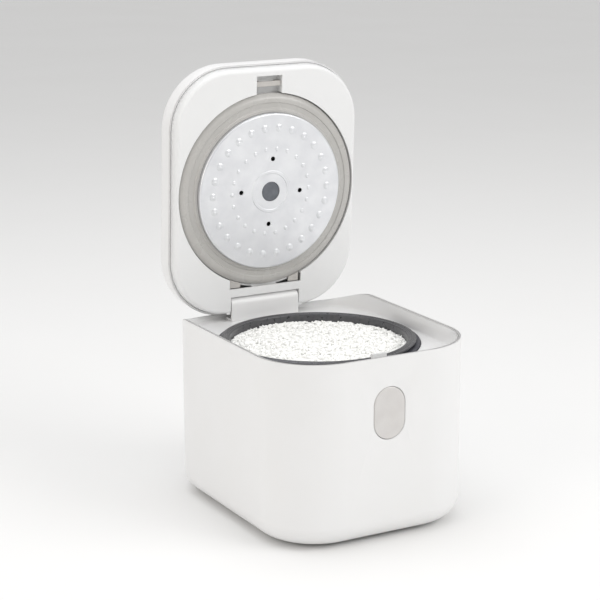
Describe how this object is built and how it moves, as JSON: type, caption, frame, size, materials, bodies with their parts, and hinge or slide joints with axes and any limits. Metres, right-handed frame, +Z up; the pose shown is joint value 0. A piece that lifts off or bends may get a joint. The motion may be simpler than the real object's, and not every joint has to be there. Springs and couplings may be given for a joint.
{
  "type": "rice cooker",
  "caption": "Rounded-square white rice cooker with a hinged lid standing open, a lift-out pot, a removable inner lid and a pill-shaped release button.",
  "frame": {"origin": "on the surface the cooker stands on, under the middle of the body", "axes": "+Z up, +X to the right seen from the front, front with the release button towards -Y"},
  "size_m": [0.216, 0.2799, 0.4293],
  "materials": {
    "shell_white": "soft gloss",
    "cover_white": "satin",
    "spring_steel": "satin",
    "screw_steel": "satin",
    "base_grey": "matte",
    "foot_rubber": "matte",
    "liner_metal": "satin",
    "ring_metal": "satin",
    "cast_aluminium": "cast",
    "element_steel": "matte",
    "fuse_white": "matte",
    "board_green": "satin",
    "part_black": "matte",
    "inlet_black": "matte",
    "pin_brass": "satin",
    "wire_red": "satin",
    "guide_grey": "matte",
    "button_satin": "satin",
    "hook_grey": "satin",
    "pot_coating": "non-stick",
    "panel_glass": "gloss",
    "seal_grey": "matte",
    "striker_grey": "satin",
    "plate_aluminium": "satin",
    "gasket_grey": "satin",
    "valve_grey": "satin"
  },
  "bodies": {
    "housing": {"body_shell": "shell_white", "top_deck": "shell_white", "hinge_tower": "shell_white", "hinge_springs": "spring_steel", "base_cover": "base_grey", "rubber_feet": "foot_rubber", "base_screws": "screw_steel", "heat_shield": "liner_metal", "pot_support_ring": "ring_metal", "heating_plate": "cast_aluminium", "heating_element": "element_steel", "plate_posts": "screw_steel", "sensor_bracket": "spring_steel", "sensor_spring": "spring_steel", "thermal_fuse": "fuse_white", "power_board": "board_green", "board_parts": "part_black", "power_inlet": "inlet_black", "inlet_pins": "pin_brass", "wiring_harness": "wire_red", "button_guide": "guide_grey", "button_spring": "spring_steel", "latch_bracket": "spring_steel", "latch_pin": "screw_steel", "latch_spring": "spring_steel"},
    "pot": {"inner_pot": "pot_coating"},
    "button": {"release_button": "button_satin"},
    "catch_lever": {"latch_hook": "hook_grey"},
    "sensor": {"sensor_cap": "cast_aluminium"},
    "lid": {"lid_shell": "shell_white", "inner_cover": "cover_white", "hinge_pin": "screw_steel", "control_glass": "panel_glass", "display_board": "board_green", "display_parts": "part_black", "lid_heater_plate": "cast_aluminium", "lid_sensor": "spring_steel", "steam_duct": "cover_white", "duct_seal": "seal_grey", "lid_striker": "striker_grey", "inner_lid_clips": "striker_grey", "lid_screws": "screw_steel"},
    "inner_lid": {"inner_lid_plate": "plate_aluminium", "inner_lid_gasket": "gasket_grey", "steam_valve": "valve_grey", "valve_seal": "plate_aluminium"},
    "vent_cap": {"steam_cap": "cover_white", "steam_cap_seal": "seal_grey"}
  },
  "joints": [
    {"name": "lid_swing", "type": "hinge", "parent": "housing", "child": "lid", "pos_m": [0, 0.1198, 0.1814], "axis": [-1, 0, 0], "range_deg": [-87, 0], "stiffness_Nm_per_rad": 0.5, "springref_deg": 20.05},
    {"name": "button_press", "type": "slide", "parent": "housing", "child": "button", "axis": [0, 1, 0], "range_m": [0, 0.003], "stiffness_N_per_m": 400, "springref_m": -0.002, "deforming": ["button_spring"]},
    {"name": "catch_turn", "type": "hinge", "parent": "housing", "child": "catch_lever", "pos_m": [0, -0.113, 0.158], "axis": [1, 0, 0], "range_deg": [0, 7.2], "deforming": ["latch_spring"]},
    {"name": "sensor_press", "type": "slide", "parent": "housing", "child": "sensor", "axis": [0, 0, 1], "range_m": [-0.002, 0], "stiffness_N_per_m": 600, "springref_m": 0.003, "deforming": ["sensor_spring"]},
    {"name": "pot_lift", "type": "slide", "parent": "housing", "child": "pot", "axis": [0, 0, 1], "range_m": [0, 0.132]},
    {"name": "inner_lid_pull", "type": "slide", "parent": "lid", "child": "inner_lid", "axis": [0, -0.9986, -0.0523], "range_m": [0, 0.255]},
    {"name": "vent_cap_pull", "type": "slide", "parent": "lid", "child": "vent_cap", "axis": [0, 0.9986, 0.0523], "range_m": [0, 0.04]}
  ],
  "couplings": [
    {"joint": "catch_turn", "follows": "button_press", "rad_per_m": 41.67}
  ]
}
